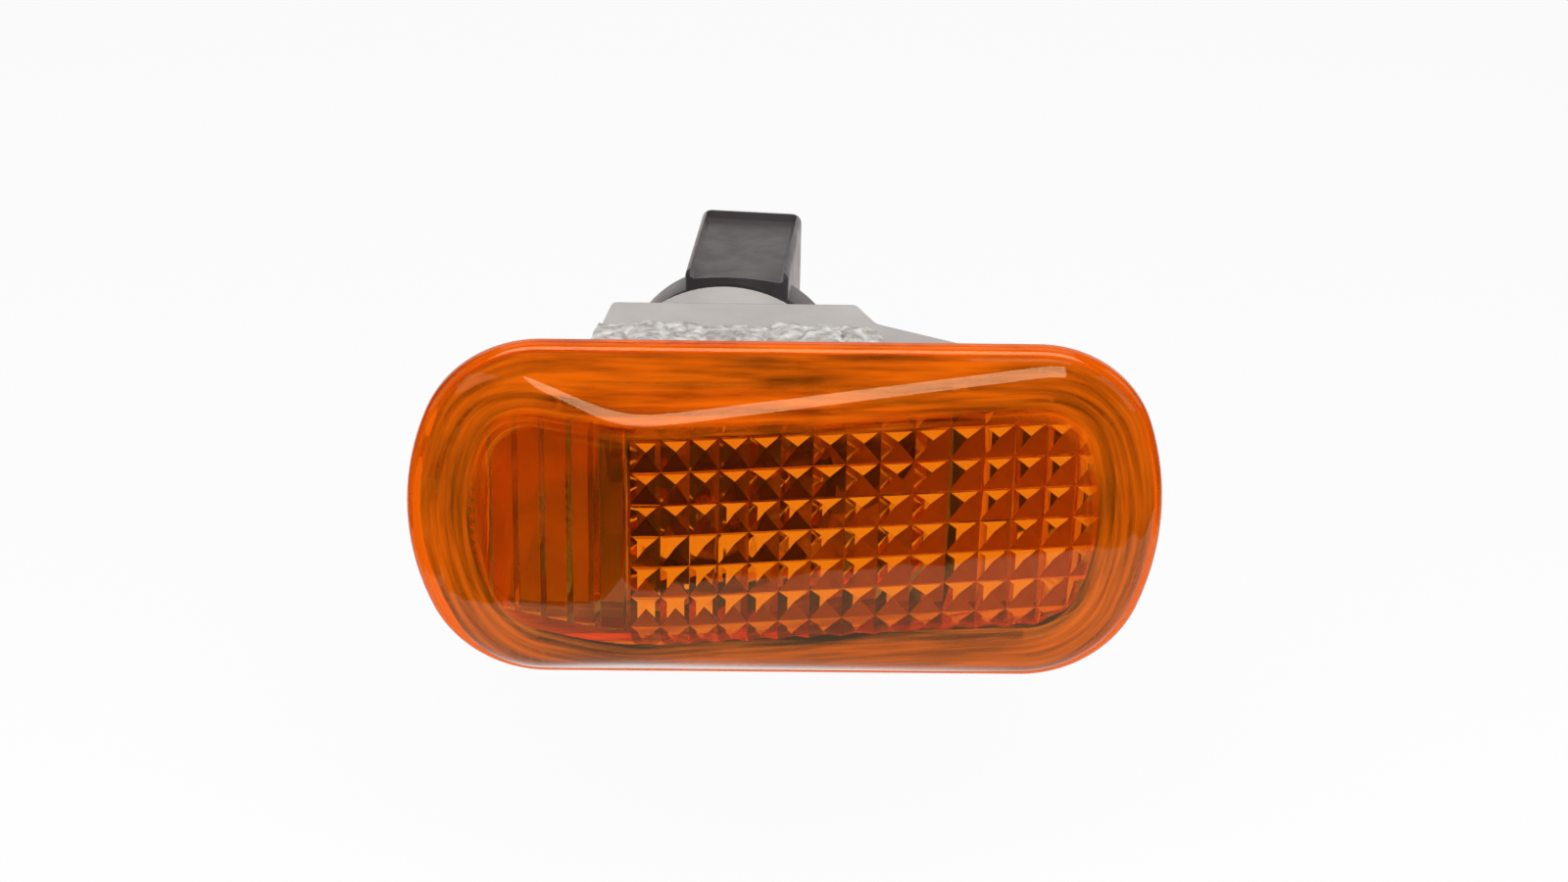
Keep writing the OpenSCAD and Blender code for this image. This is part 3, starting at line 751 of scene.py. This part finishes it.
@dataclass(frozen=True)
class HolderBuilder:
    """Builds the black holder with softened edges.

    The values are those of the construction model, apart from a cap 0.3 smaller in radius.
    """

    spigot: float = 9.5
    spigot_chamfer: float = 0.2
    start: float = 0.15
    cap_z: float = 6.8
    cap_r: float = 11.0
    cap_len: float = 4.5
    cap_disc: float = 1.8
    cap_wall: float = 1.4
    cap_soft: float = 0.45
    grip_size: tuple[float, float] = (10.3, 25.0)
    grip_len: float = 15.8
    grip_shift: float = 0.45
    grip_corner: float = 1.0
    mouth_size: tuple[float, float] = (7.2, 15.0)
    mouth_d: float = 11.0
    panel_sink: float = 0.8
    panel_side: float = 0.5
    panel_lip: float = 0.7
    panel_crown: float = 0.4
    panel_round: float = 0.3
    lug_reach: float = 1.2
    lug_t: float = 1.5
    lug_angle: float = 28.0
    lug_count: int = 3
    unlock: float = 40.0
    base_size: tuple[float, float] = (2.3, 9.5)
    base_d: float = 7.0
    blade_size: tuple[float, float] = (0.8, 2.8)
    terminal_y: float = 2.9
    play: float = 0.1

    def lathe(self) -> bpy.types.Object:
        """Spigot and cupped cap, turned about the bulb axis.

        Returns:
            The solid of revolution.
        """
        r, z, soft = self.cap_r, self.cap_z, self.cap_soft
        chamfer = self.spigot_chamfer
        profile = [(0.01, self.start), (self.spigot - chamfer, self.start), (self.spigot, self.start + chamfer),
                   (self.spigot, z)]
        turn = np.linspace(0, math.pi / 2, 6)
        profile += [(r - soft + soft * math.sin(a), z + soft - soft * math.cos(a)) for a in turn]
        top = z + self.cap_len
        profile += [(r - soft + soft * math.cos(a), top - soft + soft * math.sin(a)) for a in turn]
        inner = r - self.cap_wall
        profile += [(inner, top), (inner, z + self.cap_disc), (0.01, z + self.cap_disc)]
        a = np.linspace(0, 2 * math.pi, 160, endpoint=False)
        unit = np.stack([np.cos(a), np.sin(a)], -1)
        return stack_rings("holder_black", [level_ring(unit * r_, z_) for r_, z_ in profile])

    def grip_block(self) -> bpy.types.Object:
        """The grip block with round edges at both ends.

        Returns:
            The plain block, before its panels are cut.
        """
        turn = np.linspace(0, math.pi / 2, 7)
        rings = []
        for soft, level, sign in ((0.4, self.cap_z, -1), (0.5, self.cap_z + self.grip_len, 1)):
            for a in turn[::sign * -1]:
                inset = soft * (1 - math.sin(a))
                width, height = (size - 2 * inset for size in self.grip_size)
                flat = rounded_rectangle(width, height, self.grip_corner - inset)
                flat += (self.grip_shift, 0)
                rings.append(level_ring(flat, level - sign * soft * (1 - math.cos(a))))
        return stack_rings("grip", rings)

    def panel(self, side: int) -> bpy.types.Object:
        """The room over a sunk thumb panel, whose floor is crowned at its near end.

        The floor lies at h + c (1 - t)^3 u^2, for a share u of its half width and a share t of its length.

        Args:
            side: -1 for the upper panel and 1 for the lower one.

        Returns:
            The cutter.
        """
        half = self.grip_size[0] / 2 - self.panel_side
        share = np.linspace(-1, 1, 25)
        length = self.grip_len - self.panel_lip
        rings = []
        for t in np.r_[-0.1, np.linspace(0, 1, 25)]:
            crown = self.panel_crown * (1 - max(t, 0)) ** 3 * share ** 2
            floor = self.grip_size[1] / 2 - self.panel_sink - crown
            soft = np.clip((np.abs(share) - 0.9) / 0.1, 0, 1) ** 2 * self.panel_round
            low = np.stack([half * share + self.grip_shift, side * (floor + soft)], -1)
            top = np.full(len(share), side * (self.grip_size[1] / 2 + 1))
            high = np.stack([half * share[::-1] + self.grip_shift, top], -1)
            rings.append(level_ring(np.concatenate([low, high]), self.cap_z + length * t))
        return stack_rings("panel", rings, None)

    def block(self, name: str, centre: tuple[float, float], size: tuple[float, float], low: float,
              high: float) -> bpy.types.Object:
        """A plain block along the bulb axis, for cutting.

        Args:
            name: Name of the object.
            centre: Its middle across the bulb axis.
            size: Its width and height.
            low: Its start along the axis.
            high: Its end along the axis.

        Returns:
            The block.
        """
        flat = rounded_rectangle(size[0], size[1], 0.05, 1) + np.array(centre)
        return stack_rings(name, [level_ring(flat, low), level_ring(flat, high)], None)

    def lug(self, turn_deg: float) -> bpy.types.Object:
        """A bayonet lug on the spigot.

        Args:
            turn_deg: Its place round the bulb axis, in degrees.

        Returns:
            The solid of the lug.
        """
        a = np.radians(np.linspace(turn_deg - self.lug_angle / 2, turn_deg + self.lug_angle / 2, 12))
        arc = np.stack([np.cos(a), np.sin(a)], -1)
        flat = np.concatenate([arc * (self.spigot + self.lug_reach), arc[::-1] * self.spigot / 2])
        levels = (self.start, self.start + self.lug_t)
        return stack_rings("lug", [level_ring(flat, level) for level in levels], None)

    def build(self) -> bpy.types.Object:
        """Joins lathe, grip and lugs, and cuts the mouth and the slots.

        Returns:
            The holder object.
        """
        body = self.lathe()
        grip = self.grip_block()
        for side in (-1, 1):
            join_solids(grip, self.panel(side), "DIFFERENCE")
        join_solids(body, grip, "UNION")
        for k in range(self.lug_count):
            join_solids(body, self.lug(360 / self.lug_count * k + self.unlock), "UNION")
        mouth_z = self.cap_z + self.grip_len - self.mouth_d
        join_solids(body, self.block("mouth", (0, 0), self.mouth_size, mouth_z, 40), "DIFFERENCE")
        base = (self.base_size[0] + 2 * self.play, self.base_size[1] + 2 * self.play)
        base_end = self.start + self.base_d
        join_solids(body, self.block("pocket", (0, 0), base, -3, base_end + self.play), "DIFFERENCE")
        size = (self.blade_size[0] + self.play, self.blade_size[1] + self.play)
        for s in (-1, 1):
            x = s * ((self.base_size[0] + self.blade_size[0]) / 2 + self.play)
            slot = self.block("slot", (x, s * self.terminal_y), size, -3, base_end + 0.7)
            join_solids(body, slot, "DIFFERENCE")
        shade(body.data, 30.0)
        return body


@dataclass(frozen=True)
class Noise:
    """A noise field over Object coordinates: waves per metre, octaves and factors on the three axes."""

    scale: float
    detail: float = 3.0
    stretch: Rgb = (1, 1, 1)


class Surface:
    """A node material built round one Principled shader, with noise in Object coordinates."""

    def __init__(self, name: str) -> None:
        """Makes the material with its shader and its coordinates."""
        self.material = bpy.data.materials.new(name)
        self.material.use_nodes = True
        self.tree = self.material.node_tree
        self.tree.nodes.clear()
        self.output = self.add("ShaderNodeOutputMaterial")
        self.shader = self.add("ShaderNodeBsdfPrincipled")
        self.coords = self.add("ShaderNodeTexCoord")
        self.link(self.shader.outputs["BSDF"], self.output.inputs["Surface"])

    def add(self, kind: str, **values: object) -> bpy.types.Node:
        """Adds a node and sets attributes of it.

        Args:
            kind: Type name of the node.
            values: Attributes of the node.

        Returns:
            The node.
        """
        node = self.tree.nodes.new(kind)
        for key, value in values.items():
            setattr(node, key, value)
        return node

    def link(self, source: bpy.types.NodeSocket, target: bpy.types.NodeSocket) -> None:
        """Links two sockets."""
        self.tree.links.new(source, target)

    def set(self, **values: object) -> "Surface":
        """Sets inputs of the shader, with underscores for blanks.

        Args:
            values: The inputs.

        Returns:
            The surface.
        """
        for key, value in values.items():
            self.shader.inputs[key.replace("_", " ")].default_value = value
        return self

    def noise(self, field: Noise) -> bpy.types.NodeSocket:
        """The output socket of a noise field, with values round one half.

        Args:
            field: The field.

        Returns:
            Its output socket.
        """
        mapping = self.add("ShaderNodeMapping")
        mapping.inputs["Scale"].default_value = field.stretch
        self.link(self.coords.outputs["Object"], mapping.inputs["Vector"])
        noise = self.add("ShaderNodeTexNoise")
        noise.inputs["Scale"].default_value = field.scale
        noise.inputs["Detail"].default_value = field.detail
        self.link(mapping.outputs["Vector"], noise.inputs["Vector"])
        return noise.outputs["Fac"]

    def colours(self, field: bpy.types.NodeSocket, low: Rgb, high: Rgb) -> "Surface":
        """Base colour that runs from low to high with a field.

        Args:
            field: Socket with the field.
            low: Colour at its low end.
            high: Colour at its high end.

        Returns:
            The surface.
        """
        ramp = self.add("ShaderNodeValToRGB")
        for element, position, colour in zip(ramp.color_ramp.elements, COLOUR_SPAN, (low, high)):
            element.position = position
            element.color = (*colour, 1)
        self.link(field, ramp.inputs["Fac"])
        self.link(ramp.outputs["Color"], self.shader.inputs["Base Color"])
        return self

    def roughness(self, field: bpy.types.NodeSocket, low: float, high: float) -> "Surface":
        """Roughness that runs from low to high with a field.

        Args:
            field: Socket with the field.
            low: Least roughness.
            high: Greatest roughness.

        Returns:
            The surface.
        """
        span = self.add("ShaderNodeMapRange")
        for key, value in zip(("From Min", "From Max", "To Min", "To Max"), (*ROUGH_SPAN, low, high)):
            span.inputs[key].default_value = value
        self.link(field, span.inputs["Value"])
        self.link(span.outputs["Result"], self.shader.inputs["Roughness"])
        return self

    def bump(self, field: bpy.types.NodeSocket, height: float) -> "Surface":
        """Bump from a field, with its height in metres.

        Args:
            field: Socket with the field.
            height: Height of the bump in metres.

        Returns:
            The surface.
        """
        node = self.add("ShaderNodeBump")
        node.inputs["Strength"].default_value = 1.0
        node.inputs["Distance"].default_value = height
        self.link(field, node.inputs["Height"])
        previous = self.shader.inputs["Normal"].links
        if previous:
            self.link(previous[0].from_socket, node.inputs["Normal"])
        self.link(node.outputs["Normal"], self.shader.inputs["Normal"])
        return self

    def rim_noise(self, scale: float, detail: float) -> bpy.types.NodeSocket:
        """A noise field whose streaks run round the lens: fine across the inset and slow along the lamp.

        Args:
            scale: Waves for each millimetre of inset.
            detail: Octaves.

        Returns:
            The output socket, with values round one half.
        """
        slow = self.add("ShaderNodeVectorMath", operation="MULTIPLY")
        slow.inputs[1].default_value = (60, 0, 60)
        self.link(self.coords.outputs["Object"], slow.inputs[0])
        attribute = self.add("ShaderNodeAttribute", attribute_name="inset")
        across = self.add("ShaderNodeCombineXYZ")
        self.link(attribute.outputs["Fac"], across.inputs["Y"])
        total = self.add("ShaderNodeVectorMath", operation="ADD")
        self.link(slow.outputs["Vector"], total.inputs[0])
        self.link(across.outputs["Vector"], total.inputs[1])
        noise = self.add("ShaderNodeTexNoise")
        noise.inputs["Scale"].default_value = scale
        noise.inputs["Detail"].default_value = detail
        self.link(total.outputs["Vector"], noise.inputs["Vector"])
        return noise.outputs["Fac"]

    def inset_share(self, start: float, end: float, low: float, high: float) -> bpy.types.NodeSocket:
        """A value that runs smoothly from low to high between two insets of the lens, in millimetres.

        Args:
            start: Inset where the run begins.
            end: Inset where it ends.
            low: Value before it.
            high: Value behind it.

        Returns:
            The output socket.
        """
        attribute = self.add("ShaderNodeAttribute", attribute_name="inset")
        span = self.add("ShaderNodeMapRange", interpolation_type="SMOOTHSTEP")
        for key, value in (("From Min", start), ("From Max", end), ("To Min", low), ("To Max", high)):
            span.inputs[key].default_value = value
        self.link(attribute.outputs["Fac"], span.inputs["Value"])
        return span.outputs["Result"]

    def along(self, axis: str, start: float, end: float) -> bpy.types.NodeSocket:
        """A value that runs from 0 to 1 between two places on an axis of the lamp, in metres.

        Args:
            axis: The letter of the axis.
            start: Place where the value is 0.
            end: Place where it is 1.

        Returns:
            The output socket.
        """
        split = self.add("ShaderNodeSeparateXYZ")
        self.link(self.coords.outputs["Object"], split.inputs["Vector"])
        span = self.add("ShaderNodeMapRange")
        span.inputs["From Min"].default_value, span.inputs["From Max"].default_value = start, end
        self.link(split.outputs[axis], span.inputs["Value"])
        return span.outputs["Result"]

    def turn_to(self, share: bpy.types.NodeSocket, colour: Rgb) -> "Surface":
        """Mixes the base colour with another one by a share.

        Args:
            share: Socket with the share of the other colour.
            colour: The other colour.

        Returns:
            The surface.
        """
        mix = self.add("ShaderNodeMix", data_type="RGBA")
        self.link(share, mix.inputs["Factor"])
        self.link(self.shader.inputs["Base Color"].links[0].from_socket, mix.inputs[6])
        mix.inputs[7].default_value = (*colour, 1)
        self.link(mix.outputs[2], self.shader.inputs["Base Color"])
        return self

    def math(self, kind: str, a: bpy.types.NodeSocket, b: bpy.types.NodeSocket | float) -> bpy.types.NodeSocket:
        """A maths node on one socket and another socket or a number.

        Args:
            kind: The operation.
            a: First socket.
            b: Second socket, or a number.

        Returns:
            The output socket.
        """
        node = self.add("ShaderNodeMath", operation=kind)
        self.link(a, node.inputs[0])
        if isinstance(b, float):
            node.inputs[1].default_value = b
        else:
            self.link(b, node.inputs[1])
        return node.outputs[0]

    def clear_to_light(self, tint: Rgb) -> "Surface":
        """Lets lamps shine through: shadow rays meet a tinted clear shader instead of the refracting one.

        Args:
            tint: Colour of the light behind the piece.

        Returns:
            The surface.
        """
        path = self.add("ShaderNodeLightPath")
        clear = self.add("ShaderNodeBsdfTransparent")
        clear.inputs["Color"].default_value = (*tint, 1)
        mix = self.add("ShaderNodeMixShader")
        self.link(path.outputs["Is Shadow Ray"], mix.inputs["Fac"])
        self.link(self.shader.outputs["BSDF"], mix.inputs[1])
        self.link(clear.outputs["BSDF"], mix.inputs[2])
        self.link(mix.outputs["Shader"], self.output.inputs["Surface"])
        return self


@dataclass(frozen=True)
class Finish:
    """A finish whose colour and roughness run with noise fields, with bumps given by their height in metres.

    The settings are plain inputs of the shader. The tint is for clear pieces, as light passes them.
    """

    name: str
    low: Rgb
    high: Rgb
    rough: tuple[float, float]
    colour_noise: Noise
    rough_noise: Noise
    bumps: tuple[tuple[Noise, float], ...]
    settings: tuple[tuple[str, object], ...] = ()
    tint: Rgb | None = None

    def build(self) -> bpy.types.Material:
        """Makes the material.

        Returns:
            The material.
        """
        s = Surface(self.name)
        s.set(**dict(self.settings))
        s.colours(s.noise(self.colour_noise), self.low, self.high)
        s.roughness(s.noise(self.rough_noise), *self.rough)
        for field, height in self.bumps:
            s.bump(s.noise(field), height)
        self.dress(s)
        return s.clear_to_light(self.tint).material if self.tint else s.material

    def dress(self, s: Surface) -> None:
        """Adds what only one finish has: nothing on a plain one."""


@dataclass(frozen=True)
class AmberFinish(Finish):
    """Clear amber acrylic, which glows from within where it is thick: at the rim and on the shoulders.

    Insets are in millimetres and depths in metres. The flutes are painted yellower and lighter, as painted light
    for how brightly they are lit, and the thin skirt is paler.
    """

    edge: Rgb = (0.89, 0.138, 0.002)
    # Painted light: a yellower, lighter amber laid over the flutes, for how brightly they are lit.
    flutes: Rgb = (0.92, 0.29, 0.006)
    skirt: Rgb = (0.99, 0.8, 0.4)
    # Where along the lamp the painted light on the flutes fades in, in metres.
    flute_glow_from: tuple[float, float] = (-0.0140, -0.0150)
    skirt_from: tuple[float, float] = (-0.0019, -0.0016)
    milky: float = 0.56
    clear: float = 0.985
    least: float = 0.3
    streak: float = 1.5

    def dress(self, s: Surface) -> None:
        """Sets how clear each part is, and its colour, with painted light on the flutes.

        Args:
            s: The surface of the lens.
        """
        s.turn_to(s.inset_share(5.5, 7.5, 0.9, 0.0), self.edge)
        # Painted light: the flutes turn to the lighter, yellower amber.
        flutes = s.math("MULTIPLY", s.along("X", *self.flute_glow_from), s.inset_share(6.0, 7.5, 0.0, 1.0))
        s.turn_to(flutes, self.flutes)
        s.turn_to(s.along("Y", *self.skirt_from), self.skirt)
        streaks = s.math("MULTIPLY", s.math("SUBTRACT", s.rim_noise(1.5, 4), 0.5), self.streak)
        band = s.math("MULTIPLY", streaks, s.inset_share(6.0, 8.0, 1.0, 0.0))
        share = s.math("ADD", s.inset_share(4.6, 7.4, self.milky, self.clear), band)
        share = s.math("MAXIMUM", s.math("MINIMUM", share, self.clear), self.least)
        s.link(share, s.shader.inputs["Transmission Weight"])


def metal(name: str, low: Rgb, high: Rgb, rough: tuple[float, float]) -> Finish:
    """A plain metal with fine drawn marks.

    Args:
        name: Name of the material.
        low: Its darker colour.
        high: Its lighter colour.
        rough: Its least and its greatest roughness.

    Returns:
        The finish.
    """
    return Finish(name, low, high, rough, Noise(300), Noise(700, 3, (1, 8, 1)),
                  ((Noise(900, 2, (1, 6, 1)), 0.00002),), (("Metallic", 1.0),))


AMBER = AmberFinish("amber_acrylic", (0.86, 0.172, 0.002), (0.92, 0.208, 0.005), (0.012, 0.04), Noise(45, 2),
                    Noise(220, 2), ((Noise(160, 2), 0.00003),),
                    (("IOR", 1.49), ("Specular_Tint", (1.0, 0.8, 0.45, 1))), (0.5, 0.47, 0.38))
GREY = Finish("grey_moulding", (0.445, 0.41, 0.388), (0.505, 0.472, 0.45), (0.38, 0.55), Noise(90, 4),
              Noise(300), ((Noise(500, 3, (1.6, 0.2, 0.2)), 0.00006), (Noise(900), 0.00005)), (("IOR", 1.5),))
SILVER_BEAD = Finish("sealing_bead", (0.38, 0.34, 0.31), (0.80, 0.77, 0.745), (0.28, 0.55), Noise(900),
                     Noise(1500, 2), ((Noise(1100), 0.00022),), (("Metallic", 0.3),))
BLACK = Finish("black_moulding", (0.024, 0.020, 0.023), (0.042, 0.036, 0.039), (0.3, 0.46), Noise(120, 4),
               Noise(500), ((Noise(1100), 0.00003),),
               (("IOR", 1.5), ("Sheen_Weight", 0.2), ("Sheen_Roughness", 0.45),
                ("Sheen_Tint", (1.0, 0.78, 0.70, 1))))
RUBBER = Finish("seal_rubber", (0.012, 0.012, 0.013), (0.028, 0.027, 0.027), (0.65, 0.85), Noise(200),
                Noise(400, 2), ((Noise(800, 2), 0.00005),))
GLASS = Finish("bulb_glass", (0.95, 0.97, 0.97), (0.99, 1.0, 1.0), (0.0, 0.03), Noise(80, 2), Noise(150, 2),
               ((Noise(120, 2), 0.00005),), (("Transmission_Weight", 1.0), ("IOR", 1.5)), (0.95, 0.97, 0.97))
BRASS = metal("terminal_brass", (0.70, 0.50, 0.20), (0.86, 0.66, 0.32), (0.18, 0.34))
STEEL = metal("lead_wire", (0.50, 0.50, 0.52), (0.68, 0.68, 0.70), (0.2, 0.34))
TUNGSTEN = metal("filament_wire", (0.22, 0.22, 0.24), (0.36, 0.36, 0.38), (0.35, 0.5))


@dataclass(frozen=True)
class Sheet:
    """A flat white sheet of the studio, with its corners in millimetres.

    The glow is the share of plain white that camera, glossy and transmission rays see instead of the lit paint.
    """

    name: str
    corners: tuple
    glow: float

    def build(self) -> None:
        """Makes the sheet as part of the stage."""
        mesh = bpy.data.meshes.new(self.name)
        mesh.from_pydata((np.array(self.corners, float) * MM).tolist(), [], [[0, 1, 2, 3]])
        obj = bpy.data.objects.new(self.name, mesh)
        bpy.context.scene.collection.objects.link(obj)
        s = Surface(self.name)
        s.set(Base_Color=(0.92, 0.92, 0.92, 1), Roughness=0.9, Specular_IOR_Level=0.0)
        path = s.add("ShaderNodeLightPath")
        seen = s.math("ADD", path.outputs["Is Camera Ray"], path.outputs["Is Glossy Ray"])
        seen = s.math("ADD", seen, path.outputs["Is Transmission Ray"])
        white = s.add("ShaderNodeEmission")
        mix = s.add("ShaderNodeMixShader")
        s.link(s.math("MULTIPLY", s.math("MINIMUM", seen, 1.0), self.glow), mix.inputs["Fac"])
        s.link(s.shader.outputs["BSDF"], mix.inputs[1])
        s.link(white.outputs["Emission"], mix.inputs[2])
        s.link(mix.outputs["Shader"], s.output.inputs["Surface"])
        mesh.materials.append(s.material)


@dataclass(frozen=True)
class SoftBox:
    """A rectangular area light that faces a target, in millimetres and watts."""

    name: str
    place: Rgb
    target: Rgb
    size: tuple[float, float]
    power: float

    def build(self) -> None:
        """Makes the light."""
        data = bpy.data.lights.new(self.name, "AREA")
        data.shape = "RECTANGLE"
        data.size, data.size_y = self.size[0] * MM, self.size[1] * MM
        data.energy = self.power
        obj = bpy.data.objects.new(self.name, data)
        turn = (Vector(self.place) - Vector(self.target)).to_track_quat("Z", "Y").to_matrix().to_4x4()
        obj.matrix_world = Matrix.Translation(Vector(self.place) * MM) @ turn
        bpy.context.scene.collection.objects.link(obj)


@dataclass(frozen=True)
class Studio:
    """White floor and backdrop, a dim world and soft boxes."""

    world_grey: float = 0.035
    sheets: tuple[Sheet, ...] = (
        Sheet("floor", ((-50, -98, -60), (85, -98, -60), (900, 900, -60), (-900, 900, -60)), 0.92),
        Sheet("backdrop", ((-900, 900, -60), (900, 900, -60), (900, 900, 900), (-900, 900, 900)), 1.0))
    lights: tuple[SoftBox, ...] = (
        SoftBox("key", (0, -371, 334), (0, 0, 0), (560, 370), 3.7),
        SoftBox("top", (0, 120, 480), (0, 60, 0), (600, 300), 0.6),
        SoftBox("left", (-420, -120, 120), (0, 0, 0), (260, 260), 0.2),
        SoftBox("right", (420, -60, 160), (0, 0, 0), (260, 260), 0.2))

    def build(self) -> None:
        """Sets the world, the sheets and the lights."""
        scene = bpy.context.scene
        scene.view_settings.view_transform = "Standard"
        scene.world = bpy.data.worlds.new("World")
        scene.world.use_nodes = True
        background = scene.world.node_tree.nodes["Background"]
        background.inputs["Color"].default_value = (*[self.world_grey] * 3, 1)
        for item in (*self.sheets, *self.lights):
            item.build()


class LampScene:
    """Puts the pieces on the frame."""

    def __init__(self, frame: dict) -> None:
        """Keeps the nodes of the loaded frame."""
        self.nodes = frame["nodes"]

    def paint(self, obj: bpy.types.Object, material: bpy.types.Material) -> None:
        """Gives an object one material and reports it.

        Args:
            obj: The object.
            material: Its material.
        """
        obj.data.materials.clear()
        obj.data.materials.append(material)
        LOG.info("%s has the finish %s", obj.name, material.name)

    def dress(self) -> None:
        """Paints the construction nodes and adds the finer pieces."""
        brass, black, bead = BRASS.build(), BLACK.build(), SILVER_BEAD.build()
        looks = {"housing": GREY.build(), "joint_bead": bead, "bulb_holder": black,
                 "holder_seal": RUBBER.build(), "terminal_upper": brass, "terminal_lower": brass,
                 "bulb_glass": GLASS.build(), "bulb_leads": STEEL.build(), "bulb_filament": TUNGSTEN.build()}
        for name, material in looks.items():
            self.paint(self.nodes[name], material)
        self.place(LensBuilder().build(), AMBER.build(), Body.HOUSING, "lens", "amber_lens")
        self.place(BeadBuilder().build(), bead, Body.HOUSING, "joint_bead", "sealing_bead")
        self.place(HolderBuilder().build(), black, Body.HOLDER, "bulb_holder", "black_plastic")

    def place(self, obj: bpy.types.Object, material: bpy.types.Material, body: Body, node: str,
              slot: str) -> None:
        """Paints a piece, ties it to its body and lets it stand for a construction node.

        Args:
            obj: The piece.
            material: Its material.
            body: The body it rides on.
            node: The node it stands for.
            slot: Name of a material slot of the record; not used.
        """
        self.paint(obj, material)
        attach(obj, body.value)
        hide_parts(node)
        LOG.info("%s rides on %s for %s, with %d faces", obj.name, body.value, node, len(obj.data.polygons))


def main() -> None:
    """Builds the scene round the loaded frame."""
    logging.basicConfig(level=logging.INFO)
    CameraFit().build()
    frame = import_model()
    Studio().build()
    LampScene(frame).dress()


if __name__ == "__main__":
    main()
